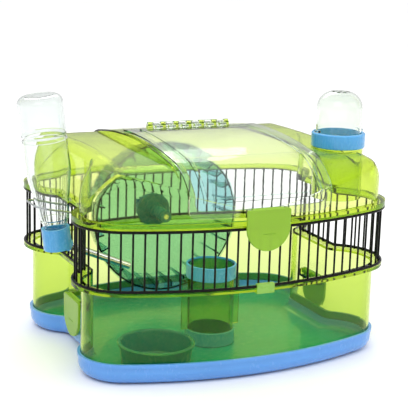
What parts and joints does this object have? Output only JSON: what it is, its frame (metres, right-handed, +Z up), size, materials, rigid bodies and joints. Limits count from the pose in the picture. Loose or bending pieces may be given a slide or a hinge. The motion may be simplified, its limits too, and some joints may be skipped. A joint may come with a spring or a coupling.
{
  "type": "hamster cage",
  "caption": "Two-storey small-pet cage: blue tray, translucent green walls, wire grilles, domed roof with a clear hinged lid, lookout tower, bottle, wheel, tube and dish.",
  "frame": {"origin": "centre of the tray's flat underside, on the surface the cage stands on", "axes": "+Z up; -Y is the front, where the lid's latch is; +X is the cage's width, towards the lookout tower's side"},
  "size_m": [0.3967, 0.3313, 0.289],
  "materials": {
    "tray_blue": "glossy moulded",
    "wall_green": "translucent, glossy",
    "shell_lime": "translucent, glossy",
    "clear": "transparent, glossy",
    "bottle_clear": "transparent, glossy",
    "latch_lime": "glossy",
    "clip_yellow": "glossy",
    "wire_black": "gloss coated wire",
    "wire_grey": "zinc coated wire",
    "steel": "polished",
    "fitting_blue": "glossy moulded",
    "wheel_clear": "translucent, glossy",
    "dish_blue": "glossy moulded"
  },
  "bodies": {
    "housing": {"base_tray": "tray_blue", "lower_wall": "wall_green", "grille_front": "wire_black", "grille_rear": "wire_black", "clip_front": "clip_yellow", "clip_rear": "clip_yellow", "top_shell": "shell_lime", "hinge_rod": "steel", "latch_mount_left": "wall_green", "latch_pin_left": "steel", "latch_mount_right": "wall_green", "latch_pin_right": "steel", "tower_tube": "shell_lime", "bottle_holder": "wire_grey", "wheel_axle": "steel", "axle_cap": "fitting_blue", "wheel_bracket": "fitting_blue", "bracket_clamp": "fitting_blue"},
    "door": {"access_door": "clear", "latch_mount_front": "clear", "latch_pin_front": "steel"},
    "front_latch": {"latch_front": "latch_lime"},
    "left_latch": {"latch_left": "latch_lime"},
    "right_latch": {"latch_right": "latch_lime"},
    "wheel": {"wheel_drum": "wheel_clear", "wheel_hub": "fitting_blue"},
    "ring": {"tower_ring": "fitting_blue"},
    "dome": {"tower_dome": "clear"},
    "bottle": {"water_bottle": "bottle_clear", "bottle_cap": "fitting_blue", "sipper_tube": "steel"},
    "ball": {"sipper_ball": "steel"},
    "climber": {"climb_tube": "wall_green", "climb_collar": "fitting_blue", "climb_ring": "fitting_blue"},
    "dish": {"food_dish": "dish_blue"}
  },
  "joints": [
    {"name": "door_hinge", "type": "hinge", "parent": "housing", "child": "door", "pos_m": [0, 0.042, 0.2412], "axis": [-1, 0, 0], "range_deg": [0, 105]},
    {"name": "front_latch_hinge", "type": "hinge", "parent": "door", "child": "front_latch", "pos_m": [0, -0.1615, 0.183], "axis": [-1, 0, 0], "range_deg": [0, 90]},
    {"name": "left_latch_hinge", "type": "hinge", "parent": "housing", "child": "left_latch", "pos_m": [-0.1505, 0, 0.0565], "axis": [0, 1, 0], "range_deg": [0, 90]},
    {"name": "right_latch_hinge", "type": "hinge", "parent": "housing", "child": "right_latch", "pos_m": [0.1505, 0, 0.0565], "axis": [0, -1, 0], "range_deg": [0, 90]},
    {"name": "wheel_spin", "type": "hinge", "parent": "housing", "child": "wheel", "pos_m": [-0.002, 0.117, 0.117], "axis": [0, 1, 0], "continuous": true},
    {"name": "ring_twist", "type": "hinge", "parent": "housing", "child": "ring", "pos_m": [0.1335, -0.0715, 0.2354], "axis": [0, 0, 1], "range_deg": [0, 45]},
    {"name": "dome_lift", "type": "slide", "parent": "ring", "child": "dome", "axis": [0, 0, 1], "range_m": [0, 0.04]},
    {"name": "bottle_lift", "type": "slide", "parent": "housing", "child": "bottle", "axis": [-0.1253, 0, 0.9921], "range_m": [0, 0.038]},
    {"name": "ball_valve", "type": "slide", "parent": "bottle", "child": "ball", "axis": [-0.9205, 0, 0.3907], "range_m": [0, 0.001]},
    {"name": "climber_lift", "type": "slide", "parent": "housing", "child": "climber", "axis": [0, 0, 1], "range_m": [0, 0.06]},
    {"name": "dish_lift", "type": "slide", "parent": "housing", "child": "dish", "axis": [0, 0, 1], "range_m": [0, 0.06]}
  ]
}
